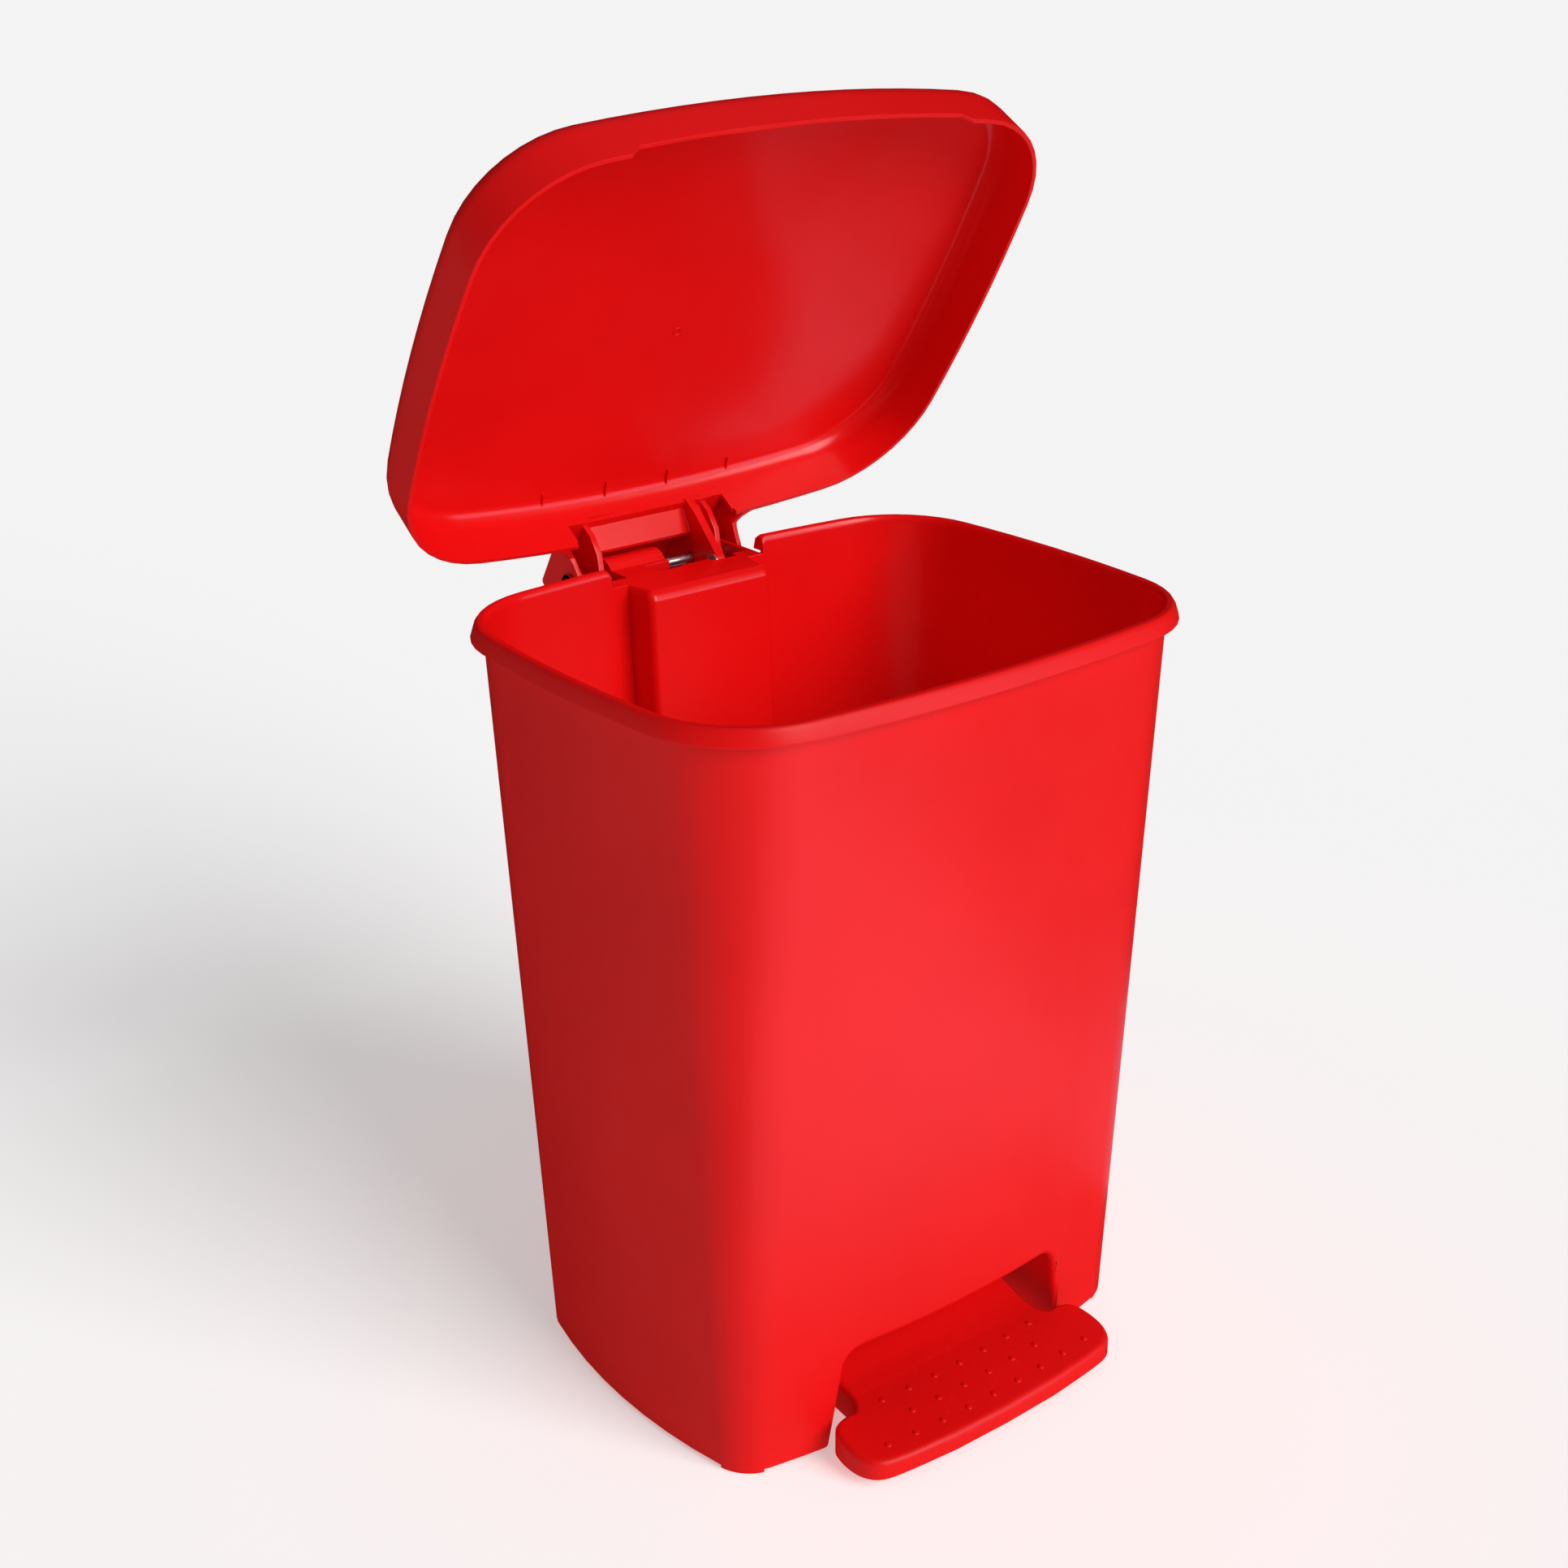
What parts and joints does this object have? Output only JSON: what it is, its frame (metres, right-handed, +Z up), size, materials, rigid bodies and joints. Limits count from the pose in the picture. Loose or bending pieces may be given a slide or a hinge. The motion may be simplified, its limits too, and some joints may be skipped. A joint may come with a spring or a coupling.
{
  "type": "pedal waste bin",
  "caption": "Tapered rectangular pedal bin with a domed lid on a rear hinge; pressing the front pedal lifts the lid through a rod in a closed rear channel.",
  "frame": {"origin": "on the floor under the middle of the whole bin's outline, lid open and pedal down", "axes": "+Z up, -Y to the front where the pedal is, +X to the right as seen from the front"},
  "size_m": [0.3542, 0.3412, 0.6811],
  "materials": {
    "red_plastic": "moulded polypropylene, satin outside with a fine texture, smoother inside",
    "zinc_steel": "bright zinc-plated wire and pressed steel",
    "screw_steel": "bright zinc-plated screw"
  },
  "bodies": {
    "bucket": {"bucket_body": "red_plastic", "foot_pad_1": "red_plastic", "foot_pad_2": "red_plastic", "foot_pad_3": "red_plastic", "foot_pad_4": "red_plastic", "lid_hinge_pin": "zinc_steel", "hinge_nut_left": "zinc_steel", "hinge_nut_right": "zinc_steel", "pedal_axle": "zinc_steel", "axle_nut_left": "zinc_steel", "axle_nut_right": "zinc_steel", "channel_cover": "red_plastic", "cover_screw_1": "screw_steel", "cover_screw_2": "screw_steel"},
    "lid": {"lid": "red_plastic"},
    "pedal": {"pedal": "red_plastic"},
    "rod": {"lift_rod": "zinc_steel", "rod_nut_lower": "zinc_steel", "rod_nut_upper": "zinc_steel"}
  },
  "joints": [
    {"name": "lid_hinge", "type": "hinge", "parent": "bucket", "child": "lid", "pos_m": [0, 0.14101, 0.414], "axis": [1, 0, 0], "range_deg": [0, 58]},
    {"name": "pedal_pivot", "type": "hinge", "parent": "bucket", "child": "pedal", "pos_m": [0, -0.01799, 0.036], "axis": [1, 0, 0], "range_deg": [-11.93, 0]},
    {"name": "rod_pivot", "type": "hinge", "parent": "pedal", "child": "rod", "pos_m": [0, 0.07501, 0.0457], "axis": [1, 0, 0], "range_deg": [0, 10.63]}
  ],
  "couplings": [
    {"joint": "pedal_pivot", "follows": "lid_hinge", "ratio": -0.20541},
    {"joint": "rod_pivot", "follows": "lid_hinge", "ratio": 0.18303}
  ]
}
